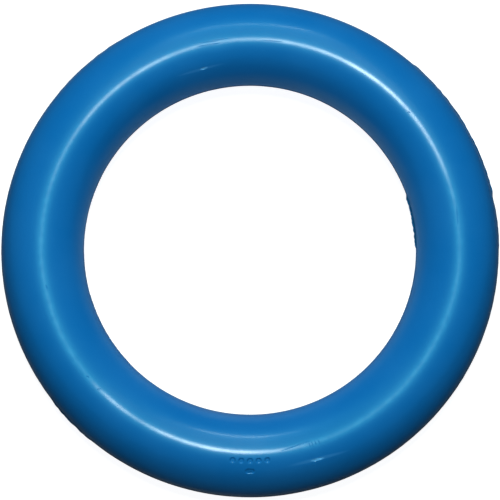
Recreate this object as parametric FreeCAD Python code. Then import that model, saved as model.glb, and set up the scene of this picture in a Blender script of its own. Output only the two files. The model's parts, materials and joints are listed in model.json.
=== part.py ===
"""Air-filled flying ring: two half shells bonded round the equator, with an air valve on the inner wall.

Millimetres, +Z up. The origin is on the ring's axis, level with the circle that the ring lies on.
The tube's section is described by a radius from the tube's own centre line and by an angle round it:
0 degrees is the outer equator, 90 the upper crest, 180 the inner equator and 270 the lower crest.
"""

import FreeCAD
import Part
import math
import os

# Driving dimensions of the ring
OUTER_DIAMETER = 180.0
TUBE_DIAMETER = 29.8
WALL = 4.8

# The joint between the shells: a tongue on the cavity side and a bonded bead at the surface
TONGUE_THICKNESS = 2.0
TONGUE_DEPTH = 2.0
GLUE_GAP = 0.1
BEAD_WIDTH = 1.6
BEAD_DEPTH = 0.8
BEAD_LAND = 1.0
BEAD_PROUD = 0.1

# The moulded mark on the upper shell: a row of round pips, and an oval pocket outside it
MARK_AZIMUTH = -90.0
MARK_DEPTH = 0.3
PIP_COUNT = 5
PIP_RADIUS = 0.9
PIP_SPACING = 3.0
PIP_ANGLE = 77.0
POCKET_LENGTH = 3.2
POCKET_WIDTH = 1.7
POCKET_ANGLE = 62.0

# The air valve, on an axis square to the tube's wall
VALVE_AZIMUTH = 90.0
VALVE_ANGLE = 206.0
NECK_RADIUS = 3.0
FLANGE_RADIUS = 4.3
FLANGE_THICKNESS = 1.2
STEM_RADIUS = 2.8
STEM_LENGTH = 3.0
PORT_RADIUS = 1.9
RECESS_RADIUS = 4.0
RECESS_DEPTH = 1.7
NAIL_NOTCH_RADIUS = 1.2

# The stopper that closes the valve
HEAD_RADIUS = 3.7
HEAD_THICKNESS = 1.0
HEAD_DOME = 0.2
HEAD_DIMPLE_RADIUS = 0.8
HEAD_DIMPLE_DEPTH = 0.4
SEAT_GAP = 0.05
SHANK_RADIUS = 1.75
SHANK_LENGTH = 5.6
TIP_RADIUS = 1.2
TIP_LENGTH = 0.8
RIB_COUNT = 3
RIB_RADIUS = 1.85
RIB_WIDTH = 0.7

# Worked out from the dimensions above
TUBE_RADIUS = TUBE_DIAMETER / 2
PITCH_RADIUS = (OUTER_DIAMETER - TUBE_DIAMETER) / 2
MID_HEIGHT = TUBE_RADIUS
CAVITY_RADIUS = TUBE_RADIUS - WALL
TONGUE_RADIUS = CAVITY_RADIUS + TONGUE_THICKNESS
TONGUE_ANGLE = math.degrees(TONGUE_DEPTH / TUBE_RADIUS)
GAP_ANGLE = math.degrees(GLUE_GAP / TUBE_RADIUS)
RECESS_FLOOR = TUBE_RADIUS - RECESS_DEPTH
MOUTH = TUBE_RADIUS + 1

ORIGIN = FreeCAD.Vector(0, 0, 0)
UP = FreeCAD.Vector(0, 0, 1)


def section_point(radius, angle):
    """A point of the tube's section, in the plane Y = 0."""
    turn = math.radians(angle)
    x = PITCH_RADIUS + radius * math.cos(turn)
    z = MID_HEIGHT + radius * math.sin(turn)
    return FreeCAD.Vector(x, 0, z)


def section_arc(radius, start, end):
    """An edge round the tube's centre line, from one angle to another."""
    middle = section_point(radius, (start + end) / 2)
    return Part.Arc(section_point(radius, start), middle, section_point(radius, end)).toShape()


def revolved(edges):
    """The solid that a closed outline in the plane Y = 0 sweeps round the ring's axis."""
    return Part.Face(Part.Wire(edges)).revolve(ORIGIN, UP, 360)


def revolved_polygon(points):
    """The solid of revolution of a straight-sided outline, given as (radius, height) pairs."""
    corners = [FreeCAD.Vector(x, 0, z) for x, z in points]
    return revolved(Part.makePolygon(corners + corners[:1]).Edges)


def tube_band(inner, outer, start, end):
    """A band of the tube's wall between two radii and two angles."""
    edges = [
        section_arc(outer, start, end),
        Part.makeLine(section_point(outer, end), section_point(inner, end)),
        section_arc(inner, end, start),
        Part.makeLine(section_point(inner, start), section_point(outer, start)),
    ]
    return revolved(edges)


def on_tube(shape, azimuth, angle):
    """Moves a shape modelled along +Z from the tube's centre line onto the tube, pointing outwards.

    The shape's own X then runs along the ring, and its own Y round the tube, towards lower angles.
    """
    lean = FreeCAD.Rotation(FreeCAD.Vector(0, 1, 0), 90 - angle)
    swing = FreeCAD.Rotation(UP, azimuth)
    align = FreeCAD.Rotation(UP, -90)
    centre = swing.multVec(FreeCAD.Vector(PITCH_RADIUS, 0, 0)) + UP * MID_HEIGHT
    placed = shape.copy()
    placed.Placement = FreeCAD.Placement(centre, swing * lean * align).multiply(placed.Placement)
    return placed


def at_valve(shape):
    """Moves a shape modelled along +Z from the tube's centre line onto the valve's axis."""
    return on_tube(shape, VALVE_AZIMUTH, VALVE_ANGLE)


def rod(radius, start, end):
    """A cylinder on the local axis, between two heights above the tube's centre line."""
    return Part.makeCylinder(radius, end - start, UP * start)


def cone(start_radius, end_radius, start, end):
    """A cone on the local axis, between two heights above the tube's centre line."""
    return Part.makeCone(start_radius, end_radius, end - start, UP * start)


def seam_rebate(side):
    """The groove that the shells leave for a bead. Side is +1 at the outer equator, -1 at the inner."""
    wall_face = PITCH_RADIUS + side * TUBE_RADIUS
    root = wall_face - side * BEAD_DEPTH
    mouth = wall_face + side * BEAD_DEPTH
    low = MID_HEIGHT - BEAD_WIDTH / 2
    high = MID_HEIGHT + BEAD_WIDTH / 2
    return revolved_polygon([(root, low), (mouth, low), (mouth, high), (root, high)])


def seam_bead(side):
    """The bonded bead in that groove, trimmed to a narrow upright land just proud of the shells."""
    half = BEAD_WIDTH / 2
    edge_drop = TUBE_RADIUS - math.sqrt(TUBE_RADIUS**2 - half**2)
    wall_face = PITCH_RADIUS + side * TUBE_RADIUS
    root = wall_face - side * BEAD_DEPTH
    edge = wall_face - side * edge_drop
    land = wall_face + side * BEAD_PROUD
    outline = [
        (root, MID_HEIGHT - half),
        (edge, MID_HEIGHT - half),
        (land, MID_HEIGHT - BEAD_LAND / 2),
        (land, MID_HEIGHT + BEAD_LAND / 2),
        (edge, MID_HEIGHT + half),
        (root, MID_HEIGHT + half),
    ]
    return revolved_polygon(outline)


def pip_cutter(offset):
    """The tool for one pip, at a distance along the ring from the middle of the mark."""
    azimuth = MARK_AZIMUTH + math.degrees(offset / PITCH_RADIUS)
    return on_tube(rod(PIP_RADIUS, TUBE_RADIUS - MARK_DEPTH, MOUTH), azimuth, PIP_ANGLE)


def pocket_cutter():
    """The tool for the oval pocket: two rods and the block between them."""
    floor = TUBE_RADIUS - MARK_DEPTH
    reach = (POCKET_LENGTH - POCKET_WIDTH) / 2
    corner = FreeCAD.Vector(-reach, -POCKET_WIDTH / 2, floor)
    block = Part.makeBox(2 * reach, POCKET_WIDTH, MOUTH - floor, corner)
    ends = []
    for side in (-1, 1):
        end = rod(POCKET_WIDTH / 2, floor, MOUTH)
        end.translate(FreeCAD.Vector(side * reach, 0, 0))
        ends.append(end)
    return on_tube(block.fuse(ends).removeSplitter(), MARK_AZIMUTH, POCKET_ANGLE)


def mark_cutters():
    """The tools that press the moulded mark MARK_DEPTH into the wall."""
    offsets = [(i - (PIP_COUNT - 1) / 2) * PIP_SPACING for i in range(PIP_COUNT)]
    return [pip_cutter(offset) for offset in offsets] + [pocket_cutter()]


def valve_hole():
    """The tool for the valve's hole in the lower shell: neck, recess and a notch for a fingernail."""
    neck = rod(NECK_RADIUS, CAVITY_RADIUS - 1, TUBE_RADIUS)
    recess = rod(RECESS_RADIUS, RECESS_FLOOR, MOUTH)
    notch = rod(NAIL_NOTCH_RADIUS, RECESS_FLOOR, MOUTH)
    notch.translate(FreeCAD.Vector(0, -RECESS_RADIUS, 0))
    return at_valve(neck.fuse([recess, notch]))


def upper_shell():
    """The upper half, with a tongue hanging into the lower one at each equator, and the moulded mark."""
    wall = tube_band(CAVITY_RADIUS, TUBE_RADIUS, 0, 180)
    outer_tongue = tube_band(CAVITY_RADIUS, TONGUE_RADIUS, -TONGUE_ANGLE, 0)
    inner_tongue = tube_band(CAVITY_RADIUS, TONGUE_RADIUS, 180, 180 + TONGUE_ANGLE)
    shell = wall.fuse([outer_tongue, inner_tongue]).removeSplitter()
    return shell.cut([seam_rebate(1), seam_rebate(-1), *mark_cutters()])


def lower_shell():
    """The lower half, rebated for the upper one's tongues and pierced for the valve."""
    wall = tube_band(CAVITY_RADIUS, TUBE_RADIUS, 180, 360)
    sink = TONGUE_ANGLE + GAP_ANGLE
    inner_seat = tube_band(CAVITY_RADIUS - 1, TONGUE_RADIUS + GLUE_GAP, 180, 180 + sink)
    outer_seat = tube_band(CAVITY_RADIUS - 1, TONGUE_RADIUS + GLUE_GAP, 360 - sink, 360)
    return wall.cut([inner_seat, outer_seat, seam_rebate(1), seam_rebate(-1), valve_hole()])


def flange():
    """The grommet's flange: a round patch of lining that follows the cavity's wall."""
    bottom = CAVITY_RADIUS - FLANGE_THICKNESS
    spread = 2 * math.degrees(math.asin(FLANGE_RADIUS / CAVITY_RADIUS))
    lining = tube_band(bottom, CAVITY_RADIUS, VALVE_ANGLE - spread, VALVE_ANGLE + spread)
    return lining.common(at_valve(rod(FLANGE_RADIUS, 0, TUBE_RADIUS)))


def valve_body():
    """The grommet: a neck in the shell's wall, a flange bonded inside it, and a stem in the cavity."""
    stem_end = CAVITY_RADIUS - STEM_LENGTH
    neck = rod(NECK_RADIUS, CAVITY_RADIUS - FLANGE_THICKNESS / 2, RECESS_FLOOR)
    stem = rod(STEM_RADIUS, stem_end, CAVITY_RADIUS)
    port = rod(PORT_RADIUS, stem_end, RECESS_FLOOR)
    core = at_valve(neck.fuse(stem))
    return core.fuse(flange()).removeSplitter().cut(at_valve(port))


def stopper_head():
    """The stopper's head: a low dome with a dimple in its middle."""
    bottom = RECESS_FLOOR + SEAT_GAP
    top = bottom + HEAD_THICKNESS + HEAD_DOME
    dome_radius = (HEAD_RADIUS**2 + HEAD_DOME**2) / (2 * HEAD_DOME)
    dome = Part.makeSphere(dome_radius, UP * (top - dome_radius))
    dimple = rod(HEAD_DIMPLE_RADIUS, top - HEAD_DIMPLE_DEPTH, MOUTH)
    return rod(HEAD_RADIUS, bottom, top).common(dome).cut(dimple)


def stopper_ribs(low, high):
    """The sealing ribs: pairs of cones spread evenly over the shank between two heights."""
    ribs = []
    for i in range(RIB_COUNT):
        middle = low + (i + 0.5) * (high - low) / RIB_COUNT
        ribs.append(cone(SHANK_RADIUS, RIB_RADIUS, middle - RIB_WIDTH / 2, middle))
        ribs.append(cone(RIB_RADIUS, SHANK_RADIUS, middle, middle + RIB_WIDTH / 2))
    return ribs


def valve_plug():
    """The stopper: its head in the recess, and a ribbed shank with a tapered tip down the port."""
    head_bottom = RECESS_FLOOR + SEAT_GAP
    shank_end = RECESS_FLOOR - SHANK_LENGTH
    shank = rod(SHANK_RADIUS, shank_end, head_bottom)
    tip = cone(TIP_RADIUS, SHANK_RADIUS, shank_end - TIP_LENGTH, shank_end)
    ribs = stopper_ribs(shank_end, RECESS_FLOOR)
    return at_valve(stopper_head().fuse([shank, tip, *ribs]).removeSplitter())


def write(name, shape):
    """Writes one piece as parts/NAME.step and prints its solids, validity and volume."""
    solids = shape.Solids
    piece = solids[0] if len(solids) == 1 else Part.makeCompound(solids)
    piece.exportStep(os.path.join("parts", name + ".step"))
    print(f"{name}: {len(solids)} solid, valid {piece.isValid()}, {piece.Volume / 1000:.3f} cm3")


def main():
    os.makedirs("parts", exist_ok=True)
    write("upper_shell", upper_shell())
    write("lower_shell", lower_shell())
    write("outer_seam_bead", seam_bead(1))
    write("inner_seam_bead", seam_bead(-1))
    write("valve_body", valve_body())
    write("valve_plug", valve_plug())


main()
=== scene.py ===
"""Looks of the air-filled flying ring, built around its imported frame. Metres, +Z up.

The tube's section is described as in the frame: an angle of 0 degrees at the outer equator, 90 at the
upper crest, 180 at the inner equator and 270 at the lower crest. An azimuth of 0 degrees is along +X,
and one of 90 along +Y. In a section, u is the distance outwards from the tube's centre line, and v the
height above it.
"""

import json
import math

import bpy
from mathutils import Matrix, Vector, noise


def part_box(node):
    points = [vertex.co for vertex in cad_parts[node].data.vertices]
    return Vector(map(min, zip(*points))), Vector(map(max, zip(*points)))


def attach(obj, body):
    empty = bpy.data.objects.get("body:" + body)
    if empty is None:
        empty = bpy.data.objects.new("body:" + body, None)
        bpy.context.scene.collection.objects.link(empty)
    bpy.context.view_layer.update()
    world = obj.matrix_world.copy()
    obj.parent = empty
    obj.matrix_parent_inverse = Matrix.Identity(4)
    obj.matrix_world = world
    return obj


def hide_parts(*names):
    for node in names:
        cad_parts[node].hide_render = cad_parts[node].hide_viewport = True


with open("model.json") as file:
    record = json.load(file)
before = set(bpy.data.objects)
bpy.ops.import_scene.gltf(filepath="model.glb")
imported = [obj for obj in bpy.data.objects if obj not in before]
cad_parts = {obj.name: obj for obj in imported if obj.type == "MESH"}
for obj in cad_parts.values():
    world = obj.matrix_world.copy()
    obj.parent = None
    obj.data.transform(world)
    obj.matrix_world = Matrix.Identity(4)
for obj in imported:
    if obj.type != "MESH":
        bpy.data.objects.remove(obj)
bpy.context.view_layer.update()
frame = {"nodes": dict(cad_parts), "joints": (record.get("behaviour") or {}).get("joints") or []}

MM = 0.001

# Sizes of the ring, from the frame
_, upper_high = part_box("upper_shell")
lower_low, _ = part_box("lower_shell")
outer_bead_low, outer_bead_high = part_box("outer_seam_bead")
_, inner_bead_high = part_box("inner_seam_bead")
BEAD_PROUD = 0.1 * MM
TUBE_RADIUS = (upper_high.z - lower_low.z) / 2
MID_HEIGHT = (upper_high.z + lower_low.z) / 2
PITCH_RADIUS = outer_bead_high.x - BEAD_PROUD - TUBE_RADIUS
BEAD_WIDTH = outer_bead_high.z - outer_bead_low.z
BEAD_DEPTH = inner_bead_high.x - (PITCH_RADIUS - TUBE_RADIUS)

# Sizes that the frame's boxes don't give, as the CAD model has them
CAVITY_RADIUS = TUBE_RADIUS - 4.8 * MM
TONGUE_RADIUS = CAVITY_RADIUS + 2.0 * MM
TONGUE_DEPTH = 2.0 * MM
GLUE_GAP = 0.1 * MM
RECESS_FLOOR = TUBE_RADIUS - 1.7 * MM
RECESS_RADIUS = 4.0 * MM
NECK_RADIUS = 3.0 * MM
NECK_CLEARANCE = 0.02 * MM
NOTCH_RADIUS = 1.2 * MM

# The moulded mark: a row of round pips and an oval pocket
MARK_AZIMUTH = -90.0
MARK_DEPTH = 0.3 * MM
MARK_SOFTNESS = 0.16 * MM
PIP_COUNT = 5
PIP_RADIUS = 0.9 * MM
PIP_SPACING = 3.0 * MM
PIP_ANGLE = 77.0
POCKET_LENGTH = 3.2 * MM
POCKET_WIDTH = 1.7 * MM
POCKET_ANGLE = 62.0

# The valve's place: its axis is the stopper's joint, and starts on the tube's centre line
stopper_joint = frame["joints"][0]
VALVE_AXIS = Vector(stopper_joint["axis"])
VALVE_OUTWARDS = -Vector((VALVE_AXIS.x, VALVE_AXIS.y, 0)).normalized()
VALVE_SIDEWAYS = Vector((VALVE_OUTWARDS.y, -VALVE_OUTWARDS.x, 0))
VALVE_CENTRE = VALVE_OUTWARDS * PITCH_RADIUS + Vector((0, 0, MID_HEIGHT))
VALVE_AZIMUTH = math.degrees(math.atan2(VALVE_OUTWARDS.y, VALVE_OUTWARDS.x))
VALVE_ANGLE = 180 + math.degrees(math.asin(-VALVE_AXIS.z))
VALVE_TURN = Matrix((VALVE_SIDEWAYS, VALVE_AXIS.cross(VALVE_SIDEWAYS), VALVE_AXIS)).transposed()
VALVE_PLACING = Matrix.Translation(VALVE_CENTRE) @ VALVE_TURN.to_4x4()

# Mesh steps, in degrees: coarse over the ring, fine at the mark and the valve
AZIMUTH_STEP = 1.0
ANGLE_STEP = 1.8
CAVITY_STEP = 7.0
FINE_AZIMUTH_STEP = 0.13
FINE_ANGLE_STEP = 0.6
BEAD_STEP = 0.4
MARK_AZIMUTHS = (MARK_AZIMUTH - 6.2, MARK_AZIMUTH + 6.2)
MARK_ANGLES = (POCKET_ANGLE - 6, PIP_ANGLE + 5)
VALVE_AZIMUTHS = (VALVE_AZIMUTH - 5.2, VALVE_AZIMUTH + 5.2)
VALVE_ANGLES = (VALVE_ANGLE - 19, VALVE_ANGLE + 24)

# Edges sharper than this stay sharp, a fillet takes at most this share of each of its two sides, and a
# cutter goes this far past what it cuts
SHARP_ANGLE = math.radians(35)
FILLET_SHARE = 0.45
CUTTER_OVERRUN = 1 * MM


# ---------------------------------------------------------------- mesh helpers


def from_zenith(lean, azimuth):
    """The direction that leans so many degrees from straight up, towards an azimuth."""
    tilt = math.radians(lean)
    turn = math.radians(azimuth)
    return Vector((math.sin(tilt) * math.cos(turn), math.sin(tilt) * math.sin(turn), math.cos(tilt)))


def section(radius, angle):
    """The (u, v) of a point round the tube's centre line."""
    turn = math.radians(angle)
    return radius * math.cos(turn), radius * math.sin(turn)


def arc(radius, start, end, step):
    """Points of a section from one angle to another, both included."""
    count = max(1, math.ceil(abs(end - start) / step))
    return [section(radius, start + (end - start) * i / count) for i in range(count + 1)]


def ring_point(azimuth, u, v):
    """The point at an azimuth, u outside the tube's centre line and v above it."""
    turn = math.radians(azimuth)
    reach = PITCH_RADIUS + u
    return Vector((reach * math.cos(turn), reach * math.sin(turn), MID_HEIGHT + v))


def stations(start, end, step, fine_zone, fine_step):
    """Values from start up to end, a step apart, and closer together inside the fine zone."""
    values = []
    value = start
    while value < end - step / 4:
        values.append(value)
        fine = fine_zone[0] <= value < fine_zone[1]
        value += fine_step if fine else step
    return values


def mesh_object(name, points, faces):
    """A smooth-shaded mesh object, with its sharp edges kept."""
    mesh = bpy.data.meshes.new(name)
    mesh.from_pydata(points, [], faces)
    mesh.shade_smooth()
    mesh.set_sharp_from_angle(angle=SHARP_ANGLE)
    piece = bpy.data.objects.new(name, mesh)
    bpy.context.scene.collection.objects.link(piece)
    return piece


def swept(name, rows):
    """The closed solid that closed outlines, one a row, make all the way round the ring."""
    per_row = len(rows[0])
    faces = []
    for i in range(len(rows)):
        here = i * per_row
        there = (i + 1) % len(rows) * per_row
        for j in range(per_row):
            k = (j + 1) % per_row
            faces.append((here + j, there + j, there + k, here + k))
    points = [point for row in rows for point in row]
    return mesh_object(name, points, faces)


def rounded(corners, steps):
    """An outline whose corners, given as (x, y, fillet radius), are rounded off. Its ends stay."""
    points = [corners[0][:2]]
    for before, here, after in zip(corners, corners[1:], corners[2:]):
        corner = Vector(here[:2])
        back = Vector(before[:2]) - corner
        onward = Vector(after[:2]) - corner
        longest = FILLET_SHARE * min(back.length, onward.length)
        reach = min(here[2] / math.tan(back.angle(onward) / 2), longest)
        start = corner + back.normalized() * reach
        end = corner + onward.normalized() * reach
        for k in range(steps + 1):
            t = k / steps
            bend = start.lerp(corner, t).lerp(corner.lerp(end, t), t)
            points.append((bend.x, bend.y))
    points.append(corners[-1][:2])
    return points


def lathe(name, outline, placing, segments=96):
    """A solid of revolution about local Z, from (radius, height) points that run upwards from the axis
    and back to it."""
    points = [placing @ Vector((0, 0, outline[0][1]))]
    for radius, height in outline[1:-1]:
        for i in range(segments):
            turn = math.tau * i / segments
            points.append(placing @ Vector((radius * math.cos(turn), radius * math.sin(turn), height)))
    points.append(placing @ Vector((0, 0, outline[-1][1])))
    top = 1 + (len(outline) - 3) * segments
    faces = []
    for i in range(segments):
        k = (i + 1) % segments
        faces.append((0, 1 + k, 1 + i))
        faces.append((top + i, top + k, len(points) - 1))
        for low in range(1, top, segments):
            faces.append((low + i, low + k, low + segments + k, low + segments + i))
    return mesh_object(name, points, faces)


def cut(piece, cutter):
    """Cuts a tool out of a piece, and removes the tool."""
    modifier = piece.modifiers.new("cut", "BOOLEAN")
    modifier.operation = "DIFFERENCE"
    modifier.solver = "EXACT"
    modifier.object = cutter
    bpy.context.view_layer.update()
    evaluated = piece.evaluated_get(bpy.context.evaluated_depsgraph_get())
    result = bpy.data.meshes.new_from_object(evaluated)
    piece.modifiers.clear()
    piece.data = result
    bpy.data.objects.remove(cutter)
    result.shade_smooth()
    result.set_sharp_from_angle(angle=SHARP_ANGLE)


def soft_step(value, edge, softness):
    """1 well below the edge, 0 well above it, and a smooth fall across the softness."""
    t = min(max((edge + softness - value) / (2 * softness), 0), 1)
    return t * t * (3 - 2 * t)


def quarter_round(distance, rounding):
    """How far a rounded edge falls away, at a distance from where the edge would be."""
    if distance >= rounding:
        return 0
    left = 1 - max(distance, 0) / rounding
    return rounding * (1 - math.sqrt(1 - left * left))


# ---------------------------------------------------------------- the skin's relief

# Broad, shallow dents of a ring that has been handled: azimuth, angle, radius and depth
DENTS = [
    (-137.0, 92.0, 5.0 * MM, 0.05 * MM),
    (-74.0, 66.0, 2.2 * MM, 0.05 * MM),
    (94.0, 128.0, 3.0 * MM, 0.06 * MM),
    (21.0, 88.0, 6.0 * MM, 0.04 * MM),
    (99.0, 91.5, 5.5 * MM, 0.08 * MM),
]

# An inflated ring is a little fuller on its outer shoulder, and flatter towards the hole. This changes
# along it: the azimuth of the middle, half the width in degrees, and the fullness added there
SHOULDER_FULLNESS = 0.24 * MM
FULLNESS_CHANGES = [
    (125.0, 68.0, -0.27 * MM),
    (-8.0, 18.0, 0.17 * MM),
    (-106.0, 42.0, -0.15 * MM),
]

# The slight unevenness of a soft moulded wall: long waves, and shorter, lower ones
LONG_WAVE_LENGTH = 38 * MM
LONG_WAVE_HEIGHT = 0.05 * MM
SHORT_WAVE_LENGTH = 13 * MM
SHORT_WAVE_HEIGHT = 0.022 * MM
SHORT_WAVE_SHIFT = Vector((7.3, 1.9, 4.1))

LIP_ROUNDING = 0.15 * MM
LIP_ANGLE = math.degrees(math.asin(BEAD_WIDTH / 2 / TUBE_RADIUS))
LIP_STEPS = 4

# The rounding of the valve's mouth, and how far in degrees the mouth reaches from the valve's middle
MOUTH_ROUNDING = 0.4 * MM
MOUTH_AZIMUTH_REACH = 7
MOUTH_ANGLE_REACH = 25


def swing_between(azimuth, other_azimuth):
    """How far round the ring one azimuth is from another, from -180 up to 180 degrees."""
    return (azimuth - other_azimuth + 180) % 360 - 180


def skin_distance(azimuth, angle, other_azimuth, other_angle):
    """How far apart two places on the skin are, along the ring and round the tube."""
    reach = PITCH_RADIUS + section(TUBE_RADIUS, other_angle)[0]
    along = math.radians(swing_between(azimuth, other_azimuth)) * reach
    return along, math.radians(angle - other_angle) * TUBE_RADIUS


def waviness(azimuth, angle):
    """How far the long and the short waves raise the skin."""
    place = ring_point(azimuth, *section(TUBE_RADIUS, angle))
    long_wave = noise.noise(place / LONG_WAVE_LENGTH)
    short_wave = noise.noise(place / SHORT_WAVE_LENGTH + SHORT_WAVE_SHIFT)
    return LONG_WAVE_HEIGHT * long_wave + SHORT_WAVE_HEIGHT * short_wave


def fullness(azimuth, angle):
    """How the section departs from a true round, alike above and below the equator."""
    amount = SHOULDER_FULLNESS
    for middle, half_width, change in FULLNESS_CHANGES:
        swing = abs(swing_between(azimuth, middle))
        amount += change * soft_step(swing, half_width / 2, half_width / 2)
    turn = math.radians(angle)
    return amount * math.copysign(1, math.sin(turn)) * math.sin(2 * turn)


def dent_depth(azimuth, angle):
    """The depth of the shallow dents, which are smooth bowls."""
    depth = 0
    for dent_azimuth, dent_angle, radius, middle_depth in DENTS:
        distance = math.hypot(*skin_distance(azimuth, angle, dent_azimuth, dent_angle))
        depth += middle_depth * soft_step(distance, radius / 2, radius / 2)
    return depth


def pip_shape(azimuth, angle):
    """1 inside the nearest pip of the mark, and 0 outside it."""
    spacing = math.degrees(PIP_SPACING / PITCH_RADIUS)
    middle = (PIP_COUNT - 1) / 2
    nearest = min(max(round((azimuth - MARK_AZIMUTH) / spacing + middle), 0), PIP_COUNT - 1)
    along, across = skin_distance(azimuth, angle, MARK_AZIMUTH + (nearest - middle) * spacing, PIP_ANGLE)
    return soft_step(math.hypot(along, across), PIP_RADIUS, MARK_SOFTNESS)


def pocket_shape(azimuth, angle):
    """1 inside the mark's oval pocket, and 0 outside it."""
    along, across = skin_distance(azimuth, angle, MARK_AZIMUTH, POCKET_ANGLE)
    past_end = max(abs(along) - (POCKET_LENGTH - POCKET_WIDTH) / 2, 0)
    return soft_step(math.hypot(past_end, across), POCKET_WIDTH / 2, MARK_SOFTNESS)


def mouth_fall(azimuth, angle):
    """How far the skin falls at the rounded mouth of the valve's recess and of its notch."""
    place = VALVE_PLACING.inverted() @ ring_point(azimuth, *section(TUBE_RADIUS, angle))
    from_recess = math.hypot(place.x, place.y) - RECESS_RADIUS
    from_notch = math.hypot(place.x, place.y + RECESS_RADIUS) - NOTCH_RADIUS
    return quarter_round(min(from_recess, from_notch), MOUTH_ROUNDING)


def upper_relief(azimuth, angle):
    """How far the upper skin stands out from the true round of the tube."""
    mark = MARK_DEPTH * max(pip_shape(azimuth, angle), pocket_shape(azimuth, angle))
    return waviness(azimuth, angle) + fullness(azimuth, angle) - dent_depth(azimuth, angle) - mark


def lower_relief(azimuth, angle):
    """How far the lower skin stands out from the true round of the tube."""
    in_azimuth = abs(azimuth - VALVE_AZIMUTH) < MOUTH_AZIMUTH_REACH
    in_angle = abs(angle - VALVE_ANGLE) < MOUTH_ANGLE_REACH
    fall = mouth_fall(azimuth, angle) if in_azimuth and in_angle else 0
    return waviness(azimuth, angle) + fullness(azimuth, angle) - fall


# ---------------------------------------------------------------- shells


def skin_angles(first, last, fine_zone):
    """Angles over a shell's skin, with extra ones where it turns in at its two edges."""
    turn_in = math.degrees(LIP_ROUNDING / TUBE_RADIUS)
    lip = [turn_in * (i / LIP_STEPS) ** 2 for i in range(LIP_STEPS)]
    middle = stations(first + turn_in, last - turn_in, ANGLE_STEP, fine_zone, FINE_ANGLE_STEP)
    return [first + t for t in lip] + middle + [last - t for t in reversed(lip)]


def skin_row(azimuth, angles, relief):
    """The skin's points at one azimuth, with its two edges turned in."""
    row = []
    for angle in angles:
        from_edge = math.radians(min(angle - angles[0], angles[-1] - angle)) * TUBE_RADIUS
        radius = TUBE_RADIUS + relief(azimuth, angle) - quarter_round(from_edge, LIP_ROUNDING)
        row.append(ring_point(azimuth, *section(radius, angle)))
    return row


def joint_steps(side, tongue_radius, reach):
    """A shell's outer edge, from its skin to its cavity: the bead's groove, the mating face and the
    face of the tongue or of its seat. Side is +1 on the upper shell and -1 on the lower."""
    root = TUBE_RADIUS - BEAD_DEPTH
    return [(root, side * BEAD_WIDTH / 2), (root, 0), *arc(tongue_radius, 0, -reach, reach / 2)]


def mirrored(points):
    """The same section points on the other side of the tube's centre line."""
    return [(-u, v) for u, v in points]


def make_upper_skin():
    """The upper half shell: its skin with the mark in it, the joint, and its half of the cavity."""
    reach = math.degrees(TONGUE_DEPTH / TUBE_RADIUS)
    steps = joint_steps(1, TONGUE_RADIUS, reach)
    cavity = arc(CAVITY_RADIUS, 180 + reach, -reach, CAVITY_STEP)
    inside = mirrored(steps) + cavity + steps[::-1]
    angles = skin_angles(LIP_ANGLE, 180 - LIP_ANGLE, MARK_ANGLES)
    rows = []
    for azimuth in stations(-180, 180, AZIMUTH_STEP, MARK_AZIMUTHS, FINE_AZIMUTH_STEP):
        skin = skin_row(azimuth, angles, upper_relief)
        rows.append(skin + [ring_point(azimuth, u, v) for u, v in inside])
    return swept("upper_skin", rows)


def make_lower_skin():
    """The lower half shell, which the valve's hole is cut through."""
    reach = math.degrees((TONGUE_DEPTH + GLUE_GAP) / TUBE_RADIUS)
    steps = joint_steps(-1, TONGUE_RADIUS + GLUE_GAP, reach)
    cavity = arc(CAVITY_RADIUS, 360 - reach, 180 + reach, CAVITY_STEP)
    inside = steps + cavity + mirrored(steps)[::-1]
    angles = skin_angles(180 + LIP_ANGLE, 360 - LIP_ANGLE, VALVE_ANGLES)
    rows = []
    for azimuth in stations(-180, 180, AZIMUTH_STEP, VALVE_AZIMUTHS, FINE_AZIMUTH_STEP):
        skin = skin_row(azimuth, angles, lower_relief)
        rows.append(skin + [ring_point(azimuth, u, v) for u, v in inside])
    skin = swept("lower_skin", rows)
    for cutter in valve_cutters():
        cut(skin, cutter)
    return skin


def valve_cutters():
    """The tools for the valve's hole in the wall: the neck with its recess, and the fingernail notch."""
    mouth = TUBE_RADIUS + CUTTER_OVERRUN
    inside = CAVITY_RADIUS - CUTTER_OVERRUN
    neck_radius = NECK_RADIUS + NECK_CLEARANCE
    recess = [
        (0, inside),
        (neck_radius, inside),
        (neck_radius, RECESS_FLOOR),
        (RECESS_RADIUS, RECESS_FLOOR),
        (RECESS_RADIUS, mouth),
        (0, mouth),
    ]
    notch = [(0, RECESS_FLOOR), (NOTCH_RADIUS, RECESS_FLOOR), (NOTCH_RADIUS, mouth), (0, mouth)]
    notch_placing = VALVE_PLACING @ Matrix.Translation((0, -RECESS_RADIUS, 0))
    return [lathe("recess_cutter", recess, VALVE_PLACING), lathe("notch_cutter", notch, notch_placing, 48)]


# ---------------------------------------------------------------- seam beads

# Stretches where the trimming left more of the flash, on the outer (+1) and the inner (-1) bead:
# the azimuth of the middle, half the length in degrees, and the height that was left
FLASH_STRETCHES = {
    1: [(31.0, 18.0, 0.42 * MM), (5.5, 5.0, 0.18 * MM), (-136.0, 6.0, 0.25 * MM), (131.0, 9.0, 0.15 * MM)],
    -1: [(10.0, 9.0, 0.55 * MM), (-150.0, 14.0, 0.07 * MM)],
}
FLASH_THICKNESS = 0.24 * MM

# How softly a stretch ends, in degrees, how even and how ragged its height is, the flash that is left
# everywhere, and how fine the raggedness is
FLASH_END_SOFTNESS = 0.8
FLASH_EVENNESS = 0.6
FLASH_RAGGEDNESS = 0.5
STRAY_FLASH = 0.05 * MM
RAGGED_SCALE = 45

# The bead's trimmed land, and how far it and the bead's height wander, slowly, along the ring
BEAD_ROOT_CLEARANCE = 0.02 * MM
LAND_HALF_WIDTH = 0.42 * MM
LAND_WANDER = 0.12 * MM
PROUD_WANDER = 0.03 * MM
WANDER_SCALE = 6

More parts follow.
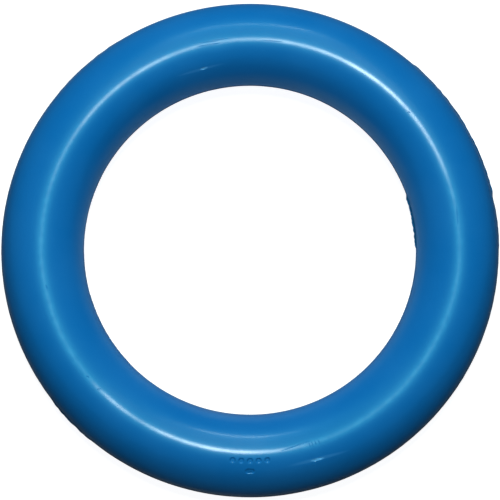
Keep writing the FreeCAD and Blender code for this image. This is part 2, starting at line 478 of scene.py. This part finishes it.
# Fillets of the bead's section
BEAD_EDGE_FILLET = 0.1 * MM
LAND_FILLET = 0.12 * MM
FLASH_ROOT_FILLET = 0.03 * MM
FLASH_TIP_FILLET = 0.05 * MM


def bead_noise(azimuth, height, scale):
    """Noise from -1 to 1 that goes round the ring without a break, finer for a greater scale."""
    return noise.noise((from_zenith(90, azimuth) + Vector((0, 0, height))) * scale)


def flash_height(azimuth, side):
    """How much of the moulding flash the trimming left standing on a bead."""
    ragged = 0.5 + bead_noise(azimuth, side, RAGGED_SCALE)
    height = STRAY_FLASH * max(ragged, 0)
    share = FLASH_EVENNESS + FLASH_RAGGEDNESS * ragged
    for middle, half_length, left in FLASH_STRETCHES[side]:
        within = soft_step(abs(swing_between(azimuth, middle)), half_length, FLASH_END_SOFTNESS)
        height += left * within * share
    return height


def bead_outline(azimuth, side):
    """A bead's section at an azimuth, as (distance beyond the shells' face, height) points."""
    half = BEAD_WIDTH / 2
    edge_drop = TUBE_RADIUS - math.sqrt(TUBE_RADIUS**2 - half**2)
    slow = bead_noise(azimuth, 3 * side, WANDER_SCALE)
    land = LAND_HALF_WIDTH + LAND_WANDER * slow
    proud = BEAD_PROUD + PROUD_WANDER * slow
    flash = flash_height(azimuth, side)
    lower_half = [
        (BEAD_ROOT_CLEARANCE - BEAD_DEPTH, -half, 0),
        (-edge_drop, -half, BEAD_EDGE_FILLET),
        (proud, -land, LAND_FILLET),
        (proud, -FLASH_THICKNESS / 2, FLASH_ROOT_FILLET),
        (proud + flash, -FLASH_THICKNESS / 3, FLASH_TIP_FILLET),
    ]
    upper_half = [(out, -v, fillet) for out, v, fillet in reversed(lower_half)]
    return rounded(lower_half + upper_half, steps=2)


def make_bead(name, side):
    """The bonded bead round the outside (side +1) or round the hole (side -1)."""
    rows = []
    for i in range(round(360 / BEAD_STEP)):
        azimuth = i * BEAD_STEP
        outline = bead_outline(azimuth, side)[::side]
        rows.append([ring_point(azimuth, side * (TUBE_RADIUS + out), v) for out, v in outline])
    return swept(name, rows)


# ---------------------------------------------------------------- stopper

HEAD_RADIUS = 3.7 * MM
HEAD_THICKNESS = 1.0 * MM
HEAD_DOME = 0.2 * MM
DIMPLE_RADIUS = 0.8 * MM
DIMPLE_DEPTH = 0.4 * MM
SEAT_GAP = 0.05 * MM
SHANK_RADIUS = 1.75 * MM
SHANK_LENGTH = 5.6 * MM
TIP_RADIUS = 1.2 * MM
TIP_LENGTH = 0.8 * MM
RIB_COUNT = 3
RIB_RADIUS = 1.85 * MM
RIB_WIDTH = 0.7 * MM


def rib_corners(low, high):
    """The corners of the sealing ribs, spread evenly between two heights."""
    corners = []
    for i in range(RIB_COUNT):
        middle = low + (i + 0.5) * (high - low) / RIB_COUNT
        corners.append((SHANK_RADIUS, middle - RIB_WIDTH / 2, 0.1 * MM))
        corners.append((RIB_RADIUS, middle, 0.15 * MM))
        corners.append((SHANK_RADIUS, middle + RIB_WIDTH / 2, 0.1 * MM))
    return corners


def make_stopper():
    """The stopper: a low-domed head with a dimple, and a ribbed shank with a tapered tip."""
    shank_end = RECESS_FLOOR - SHANK_LENGTH
    head_bottom = RECESS_FLOOR + SEAT_GAP
    edge_top = head_bottom + HEAD_THICKNESS
    dome_top = edge_top + HEAD_DOME
    dimple_floor = dome_top - DIMPLE_DEPTH
    corners = [
        (0, shank_end - TIP_LENGTH, 0),
        (TIP_RADIUS, shank_end - TIP_LENGTH, 0.3 * MM),
        (SHANK_RADIUS, shank_end, 0.3 * MM),
        *rib_corners(shank_end, RECESS_FLOOR),
        (SHANK_RADIUS, head_bottom, 0.1 * MM),
        (HEAD_RADIUS, head_bottom, 0.15 * MM),
        (HEAD_RADIUS, edge_top, 0.35 * MM),
        (DIMPLE_RADIUS + 1.2 * MM, dome_top - 0.03 * MM, 0.8 * MM),
        (DIMPLE_RADIUS + 0.05 * MM, dome_top, 0.15 * MM),
        (DIMPLE_RADIUS - 0.1 * MM, dimple_floor, 0.2 * MM),
        (0, dimple_floor, 0),
    ]
    return lathe("stopper", rounded(corners, steps=5), VALVE_PLACING)


# ---------------------------------------------------------------- node helpers


class Graph:
    """A material's node tree, with a short call for each kind of node that the materials use."""

    def __init__(self, material):
        self.tree = material.node_tree
        self.shader = self.tree.nodes["Principled BSDF"]

    def put(self, socket, value):
        """Links a value into a socket if it comes from a node, and otherwise sets it."""
        if isinstance(value, bpy.types.NodeSocket):
            self.tree.links.new(value, socket)
        else:
            socket.default_value = value

    def drive(self, name, value):
        """Links a value into one of the shader's own sockets."""
        self.put(self.shader.inputs[name], value)

    def math(self, operation, first, second=0.0):
        """The result of a Math node."""
        node = self.tree.nodes.new("ShaderNodeMath")
        node.operation = operation
        self.put(node.inputs[0], first)
        self.put(node.inputs[1], second)
        return node.outputs[0]

    def total(self, *values):
        """The sum of values."""
        result = values[0]
        for value in values[1:]:
            result = self.math("ADD", result, value)
        return result

    def offset(self, vector, start):
        """A vector measured from a start."""
        node = self.tree.nodes.new("ShaderNodeVectorMath")
        node.operation = "SUBTRACT"
        self.put(node.inputs[0], vector)
        self.put(node.inputs[1], start)
        return node.outputs["Vector"]

    def dot(self, vector, aim):
        """The dot product of a vector and an aim."""
        node = self.tree.nodes.new("ShaderNodeVectorMath")
        node.operation = "DOT_PRODUCT"
        self.put(node.inputs[0], vector)
        self.put(node.inputs[1], aim)
        return node.outputs["Value"]

    def place(self):
        """The point on the surface, in the ring's own frame."""
        return self.tree.nodes.new("ShaderNodeTexCoord").outputs["Object"]

    def split(self, vector):
        """The three parts of a vector."""
        node = self.tree.nodes.new("ShaderNodeSeparateXYZ")
        self.put(node.inputs[0], vector)
        return node.outputs[0], node.outputs[1], node.outputs[2]

    def join(self, x, y, z):
        """A vector from its three parts."""
        node = self.tree.nodes.new("ShaderNodeCombineXYZ")
        self.put(node.inputs[0], x)
        self.put(node.inputs[1], y)
        self.put(node.inputs[2], z)
        return node.outputs[0]

    def noise(self, vector, size, detail=2.0, w=None):
        """Noise about 0.5, of a given grain size in the vector's own units."""
        node = self.tree.nodes.new("ShaderNodeTexNoise")
        self.put(node.inputs["Vector"], vector)
        if w is not None:
            node.noise_dimensions = "4D"
            self.put(node.inputs["W"], w)
        node.inputs["Scale"].default_value = 1 / size
        node.inputs["Detail"].default_value = detail
        return node.outputs["Fac"]

    def patches(self, vector, size, to_low=0.0, to_high=1.0, detail=3.0):
        """Noise with its contrast stretched, so that it fills a range."""
        return self.ramp(self.noise(vector, size, detail), 0.3, 0.7, to_low, to_high)

    def ramp(self, value, low, high, to_low=0.0, to_high=1.0):
        """A value mapped smoothly from one range to another, and held at its ends."""
        node = self.tree.nodes.new("ShaderNodeMapRange")
        node.interpolation_type = "SMOOTHSTEP"
        self.put(node.inputs["Value"], value)
        node.inputs["From Min"].default_value = low
        node.inputs["From Max"].default_value = high
        node.inputs["To Min"].default_value = to_low
        node.inputs["To Max"].default_value = to_high
        return node.outputs["Result"]

    def blend(self, factor, first, second):
        """A mix of two colours."""
        node = self.tree.nodes.new("ShaderNodeMix")
        node.data_type = "RGBA"
        self.put(node.inputs["Factor"], factor)
        self.put(node.inputs[6], (*first, 1))
        self.put(node.inputs[7], (*second, 1))
        return node.outputs[2]

    def bump(self, height, depth, normal=None):
        """Relief of a given depth in metres where the height goes from 0 to 1."""
        node = self.tree.nodes.new("ShaderNodeBump")
        node.inputs["Distance"].default_value = depth
        self.put(node.inputs["Height"], height)
        if normal is not None:
            self.put(node.inputs["Normal"], normal)
        return node.outputs["Normal"]


def new_material(name, **constants):
    """A material and its graph, with constant values set on its shader."""
    material = bpy.data.materials.new(name)
    material.use_nodes = True
    graph = Graph(material)
    for socket, value in constants.items():
        graph.shader.inputs[socket.replace("_", " ")].default_value = value
    return material, graph


# ---------------------------------------------------------------- materials

# The blue and its gloss, and how bright the skin's blue and the seam's two blues are next to it; the
# seam's blues are darker as painted shade along the seam
BLUE = (0.0035, 0.139, 0.408)
BLUE_GLOSS = (0.16, 0.9, 1.0, 1.0)
SKIN_BLUE = 0.96
SEAM_SHADED_BLUES = (0.3, 0.5)
GROMMET_BLUES = ((0.012, 0.045, 0.11), (0.03, 0.075, 0.16))
STOPPER_WHITES = ((0.66, 0.65, 0.59), (0.77, 0.77, 0.73))

# The skin's finish: a sheen under a sharper coat, moulding lines and orange peel
SKIN_ROUGHNESS = (0.36, 0.40)
COAT_ROUGHNESS = 0.17
LINE_SPACING = 0.8 * MM
LINE_LENGTH = 15 * MM
LINE_DEPTH = 0.004 * MM
PEEL_SIZE = 1.6 * MM
PEEL_DEPTH = 0.003 * MM

# Where the skin is polished: the azimuth of the middle, half the width in degrees, and how strongly
POLISHED_STRETCHES = [
    (54.5, 47.0, 0.46),
    (121.0, 50.0, 0.19),
    (-99.0, 29.5, 0.49),
    (-130.0, 10.5, 0.18),
]
LEAST_POLISH = 0.014

# Scratches: azimuth, angle, how far it turns from the ring's own direction, length, width and depth
SCRATCHES = [
    (-77.0, 91.0, 6.6, 13.0 * MM, 0.45 * MM, 0.04 * MM),
    (-73.6, 87.5, 92.0, 2.0 * MM, 0.30 * MM, 0.05 * MM),
    (-72.8, 87.0, 88.0, 2.3 * MM, 0.30 * MM, 0.06 * MM),
    (-71.9, 87.5, 96.0, 1.8 * MM, 0.30 * MM, 0.05 * MM),
    (-70.9, 87.0, 90.0, 2.0 * MM, 0.30 * MM, 0.05 * MM),
    (100.0, 89.0, 0.5, 13.0 * MM, 0.50 * MM, 0.035 * MM),
    (101.5, 93.2, -2.0, 10.0 * MM, 0.50 * MM, 0.035 * MM),
    (84.0, 92.0, 1.5, 9.0 * MM, 0.40 * MM, 0.02 * MM),
    (40.0, 90.8, 40.0, 1.0 * MM, 0.50 * MM, 0.05 * MM),
    (8.0, 88.5, -4.0, 8.0 * MM, 0.40 * MM, 0.03 * MM),
    (-136.0, 88.0, 55.0, 2.4 * MM, 0.60 * MM, 0.03 * MM),
    (-140.5, 88.0, 20.0, 1.4 * MM, 0.45 * MM, 0.04 * MM),
    (-168.0, 91.0, 10.0, 2.0 * MM, 0.50 * MM, 0.04 * MM),
]

# Nicks, which glint: the same values
NICKS = [
    (-73.4, 64.6, -4.0, 2.0 * MM, 1.1 * MM, 0.13 * MM),
    (-71.9, 65.0, -4.0, 1.4 * MM, 0.9 * MM, 0.10 * MM),
    (104.7, 124.5, 2.0, 2.0 * MM, 1.0 * MM, 0.16 * MM),
]
NICK_POLISH = 0.9

# Painted reflections, not scuffs: pale streaks and glints painted into the blue where the flanks would
# mirror a lamp's edge. Azimuth, angle, turn, length, width and strength
PAINTED_REFLECTIONS = [
    (-72.5, 65.3, -3.0, 26.0 * MM, 1.7 * MM, 0.14),
    (-72.7, 64.7, -4.0, 6.0 * MM, 1.2 * MM, 0.80),
    (105.5, 124.8, 0.0, 20.0 * MM, 1.4 * MM, 0.12),
    (104.5, 124.5, 2.0, 3.6 * MM, 1.2 * MM, 0.60),
]
# The pale blue that the clouding and the painted reflection streaks and glints blend towards
PALE_AND_REFLECTION_BLUE = (0.12, 0.46, 0.85)
CLOUDING = 0.035


def shade(colour, factor):
    """A colour made darker or lighter."""
    return tuple(channel * factor for channel in colour)


def moulding_lines(graph, place, spacing, length):
    """Fine lines that run round the ring, from the turned mould: noise drawn out along the ring."""
    x, y, z = graph.split(place)
    squares = graph.total(graph.math("MULTIPLY", x, x), graph.math("MULTIPLY", y, y))
    across = graph.math("DIVIDE", graph.math("SQRT", squares), spacing)
    up = graph.math("DIVIDE", z, spacing)
    along_x = graph.math("DIVIDE", x, length)
    along_y = graph.math("DIVIDE", y, length)
    return graph.noise(graph.join(across, up, along_x), 1.0, detail=1.5, w=along_y)


def stroke(graph, place, azimuth, angle, turn, length, width):
    """1 in the middle of a long oval on the skin, and 0 at its edge and beyond."""
    middle = ring_point(azimuth, *section(TUBE_RADIUS, angle))
    outwards = (middle - ring_point(azimuth, 0, 0)).normalized()
    forwards = Matrix.Rotation(math.radians(turn), 3, outwards) @ from_zenith(90, azimuth + 90)
    offset = graph.offset(place, middle)
    along = graph.math("POWER", graph.dot(offset, forwards * 2 / length), 2.0)
    across = graph.math("POWER", graph.dot(offset, outwards.cross(forwards) * 2 / width), 2.0)
    return graph.ramp(graph.total(along, across), 0.0, 1.0, 1.0, 0.0)


def polish(graph, place):
    """How strong the sharp gloss is: most in the middle of the polished stretches and in the nicks, and
    blotchy."""
    x, y, _ = graph.split(place)
    azimuth = graph.math("DEGREES", graph.math("ARCTAN2", y, x))
    shares = [LEAST_POLISH]
    for middle, half_width, strength in POLISHED_STRETCHES:
        away = graph.math("ABSOLUTE", graph.math("SUBTRACT", azimuth, middle))
        shares.append(graph.ramp(away, 0.0, half_width, strength, 0.0))
    for *oval, _ in NICKS:
        shares.append(graph.math("MULTIPLY", stroke(graph, place, *oval), NICK_POLISH))
    blotches = graph.patches(place, 12 * MM, 0.75, 1.2, detail=2)
    return graph.math("MULTIPLY", graph.total(*shares), blotches)


def scratches(graph, place, normal):
    """The skin's relief with the scratches and nicks in it: each is a long oval groove."""
    for *oval, depth in SCRATCHES + NICKS:
        groove = graph.math("MULTIPLY", stroke(graph, place, *oval), -1.0)
        normal = graph.bump(groove, depth, normal)
    return normal


def clouding_and_painted_reflections(graph, place):
    """How far the blue is paled: by faint clouding, and by the pale reflection streaks and glints painted
    into it.
    """
    cloud = graph.patches(place, 30 * MM, 0.0, CLOUDING)
    # Painted reflections: pale streaks and glints painted into the blue
    painted_streaks = [graph.math("MULTIPLY", stroke(graph, place, *oval), strength) for *oval, strength in PAINTED_REFLECTIONS]
    return graph.total(cloud, *painted_streaks)


def make_vinyl():
    """The glossy blue skin: a soft sheen under a sharper polish that comes and goes along the ring,
    faint clouding, moulding lines, orange peel, and pale reflection streaks and glints painted into the
    blue."""
    material, graph = new_material("vinyl", IOR=1.4, Specular_Tint=BLUE_GLOSS, Coat_IOR=1.4)
    place = graph.place()
    # The base colour carries the faint clouding and the painted reflection streaks and glints
    graph.drive("Base Color", graph.blend(clouding_and_painted_reflections(graph, place), shade(BLUE, SKIN_BLUE), PALE_AND_REFLECTION_BLUE))
    graph.drive("Roughness", graph.patches(place, 2.5 * MM, *SKIN_ROUGHNESS))
    graph.drive("Coat Weight", polish(graph, place))
    graph.shader.inputs["Coat Roughness"].default_value = COAT_ROUGHNESS
    lines = graph.bump(moulding_lines(graph, place, LINE_SPACING, LINE_LENGTH), LINE_DEPTH)
    peel = graph.bump(graph.noise(place, PEEL_SIZE, detail=1), PEEL_DEPTH, lines)
    relief = scratches(graph, place, peel)
    graph.drive("Normal", relief)
    graph.drive("Coat Normal", relief)
    return material


def make_seam():
    """The bonded bead: darker than the skin as painted shade, mottled between two blues, duller, with fine
    trimming marks.
    """
    material, graph = new_material("seam", IOR=1.4, Specular_Tint=BLUE_GLOSS)
    place = graph.place()
    cloud = graph.patches(place, 4 * MM)
    # Both blues are darker than the skin as painted shade along the seam; the mottling between them is
    # random
    darker, paler = (shade(BLUE, factor) for factor in SEAM_SHADED_BLUES)
    graph.drive("Base Color", graph.blend(cloud, darker, paler))
    graph.drive("Roughness", graph.ramp(cloud, 0.0, 1.0, 0.34, 0.5))
    marks = moulding_lines(graph, place, 0.12 * MM, 4 * MM)
    graph.drive("Normal", graph.bump(marks, 0.02 * MM))
    return material


def make_grommet():
    """The valve's grommet: darker, slightly clear blue rubber with a satin moulded finish."""
    material, graph = new_material("grommet", IOR=1.5, Subsurface_Weight=0.1, Subsurface_Scale=0.5 * MM)
    place = graph.place()
    cloud = graph.noise(place, 2 * MM, detail=3)
    graph.drive("Base Color", graph.blend(cloud, *GROMMET_BLUES))
    graph.drive("Roughness", graph.ramp(cloud, 0.3, 0.7, 0.38, 0.5))
    graph.drive("Normal", graph.bump(graph.noise(place, 0.3 * MM), 0.006 * MM))
    return material


def make_stopper_material():
    """The stopper: milky off-white plastic, a little yellowed, with a satin moulded grain."""
    material, graph = new_material("stopper", IOR=1.48, Subsurface_Weight=0.25, Subsurface_Scale=0.8 * MM)
    place = graph.place()
    cloud = graph.patches(place, 3 * MM)
    graph.drive("Base Color", graph.blend(cloud, *STOPPER_WHITES))
    graph.drive("Roughness", graph.ramp(cloud, 0.0, 1.0, 0.32, 0.44))
    graph.drive("Normal", graph.bump(graph.noise(place, 0.25 * MM), 0.006 * MM))
    return material


# ---------------------------------------------------------------- the object


def finish_piece(piece, material, body, node):
    """Gives a piece its material and its body, and hides the frame's node that it stands for."""
    piece.data.materials.clear()
    piece.data.materials.append(material)
    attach(piece, body)
    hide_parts(node)


def build_object():
    """The six pieces: five new meshes, and the grommet, which keeps its own mesh."""
    vinyl = make_vinyl()
    seam = make_seam()
    finish_piece(make_upper_skin(), vinyl, "ring", "upper_shell")
    finish_piece(make_lower_skin(), vinyl, "ring", "lower_shell")
    finish_piece(make_bead("outer_bead", 1), seam, "ring", "outer_seam_bead")
    finish_piece(make_bead("inner_bead", -1), seam, "ring", "inner_seam_bead")
    finish_piece(make_stopper(), make_stopper_material(), "plug", "valve_plug")
    frame["nodes"]["valve_body"].material_slots[0].material = make_grommet()


# ---------------------------------------------------------------- the studio

RING_CENTRE = Vector((0, 0, MID_HEIGHT))
FLOOR_RADIUS = 6.0
FLOOR_HEIGHT = -0.1 * MM
FLOOR_BRIGHTNESS = 0.95
WALL_HEIGHT = 3.0

# What the camera looks at, how far it leans from straight up, its distance and the width that it sees
VIEW_CENTRE = Vector((0, -0.1 * MM, MID_HEIGHT))
CAMERA_LEAN = 7.6
CAMERA_DISTANCE = 3.0
FRAME_WIDTH = 181.1 * MM

# The distances and colours of the lamps, and the light from all round
LAMP_DISTANCE = 8.0
FILL_DISTANCE = 0.5
COOL_WHITE = (0.9, 1.04, 1.07)
SKY_WHITE = (0.72, 1.06, 1.13)
WORLD_COLOUR = (0.026, 0.03, 0.031, 1)

# Sheets under the ring that it mirrors: name, centre, radius and colour
REFLECTED_SHEETS = [
    ("card", Vector((0, 18 * MM, -0.2 * MM)), 55 * MM, (0.32, 0.45, 0.56, 1)),
    ("mat", Vector((0, 0, -0.25 * MM)), 104 * MM, (0.17, 0.18, 0.19, 1)),
    ("table", Vector((0, 0, -0.3 * MM)), FLOOR_RADIUS, (0.04, 0.05, 0.06, 1)),
]


def aim(thing, target, lean, azimuth, distance):
    """Puts a lamp or the camera at a distance from a target, in a direction, and turns it to face it."""
    direction = from_zenith(lean, azimuth)
    thing.location = target + distance * direction
    thing.rotation_euler = (-direction).to_track_quat("-Z", "Y").to_euler()
    bpy.context.scene.collection.objects.link(thing)


def make_lamp(name, lean, across, deep, radiance, colour=COOL_WHITE, distance=LAMP_DISTANCE,
              shape="RECTANGLE"):
    """A flat lamp that leans so many degrees from straight above the ring, away from the mark. Across and
    deep are the angles that it fills, as the ring sees it, and radiance is how bright it looks, next to a
    white of 1."""
    lamp = bpy.data.lights.new(name, "AREA")
    lamp.shape = shape
    lamp.size = 2 * distance * math.tan(math.radians(across) / 2)
    lamp.size_y = 2 * distance * math.tan(math.radians(deep) / 2)
    area = lamp.size * lamp.size_y * (math.pi / 4 if shape == "ELLIPSE" else 1)
    lamp.energy = radiance * math.pi * area
    lamp.color = colour
    holder = bpy.data.objects.new(name, lamp)
    aim(holder, RING_CENTRE, lean, 90, distance)
    return holder


def make_lamps():
    """A small bright lamp over the crest, a broad softbox beyond it, brighter along its middle and its
    far edge, and two nearer lamps that shade the ring without showing in its gloss: one above, and one
    below it in place of the light that a pale floor throws back."""
    make_lamp("crest_lamp", lean=6, across=8.5, deep=8.5, radiance=82, shape="ELLIPSE")
    make_lamp("softbox", lean=30, across=31, deep=43, radiance=1.75, colour=SKY_WHITE)
    make_lamp("softbox_middle", lean=30, across=22, deep=43, radiance=2.4, colour=SKY_WHITE)
    make_lamp("softbox_edge", lean=50.5, across=20, deep=3.5, radiance=20, colour=SKY_WHITE)
    fill = make_lamp("fill", lean=45, across=30, deep=35, radiance=1.85, distance=FILL_DISTANCE)
    fill.visible_glossy = False
    bounce = make_lamp("bounce", lean=180, across=52, deep=52, radiance=3.2, distance=FILL_DISTANCE)
    bounce.visible_glossy = False


def make_world():
    """Dim light from all round."""
    world = bpy.data.worlds.new("studio")
    bpy.context.scene.world = world
    world.use_nodes = True
    world.node_tree.nodes["Background"].inputs["Color"].default_value = WORLD_COLOUR


def grey(value):
    """A grey as a colour socket takes it."""
    return value, value, value, 1


def circle(centre, radius):
    """Corners of a level round outline, 5 degrees apart."""
    return [centre + radius * from_zenith(90, azimuth) for azimuth in range(0, 360, 5)]


def studio_piece(name, points, faces, **constants):
    """A piece of the studio, with a matt material of its own. It casts no shadow."""
    piece = mesh_object(name, points, faces)
    piece.data.materials.append(new_material(name, Roughness=0.8, **constants)[0])
    piece.visible_shadow = False
    return piece


def make_backdrop():
    """A plain white floor and the white wall at its far edge. Only the camera sees them."""
    rim = circle(Vector((0, 0, FLOOR_HEIGHT)), FLOOR_RADIUS)
    top = circle(Vector((0, 0, WALL_HEIGHT)), FLOOR_RADIUS)
    count = len(rim)
    wall = [(i, (i + 1) % count, count + (i + 1) % count, count + i) for i in range(count)]
    backdrop = studio_piece("floor", rim + top, [range(count), *wall], Base_Color=grey(0.3),
                            Emission_Color=grey(1), Emission_Strength=FLOOR_BRIGHTNESS)
    backdrop.visible_diffuse = False
    backdrop.visible_glossy = False
    backdrop.visible_transmission = False


def make_table():
    """What the ring sees: a dark table, a mat on it, and a paler card under the hole, so that the ring's
    flanks don't glare. The camera doesn't see them."""
    for name, centre, radius, colour in REFLECTED_SHEETS:
        corners = circle(centre, radius)
        sheet = studio_piece(name, corners, [range(len(corners))], Base_Color=colour)
        sheet.visible_camera = False


def make_camera():
    """A long lens almost straight above the ring, from the side of the mark."""
    camera = bpy.data.cameras.new("camera")
    camera.sensor_width = 36
    camera.lens = camera.sensor_width * CAMERA_DISTANCE / FRAME_WIDTH
    holder = bpy.data.objects.new("camera", camera)
    aim(holder, VIEW_CENTRE, CAMERA_LEAN, -90, CAMERA_DISTANCE)
    bpy.context.scene.camera = holder
    bpy.context.scene.view_settings.view_transform = "Standard"


build_object()
make_world()
make_backdrop()
make_table()
make_lamps()
make_camera()
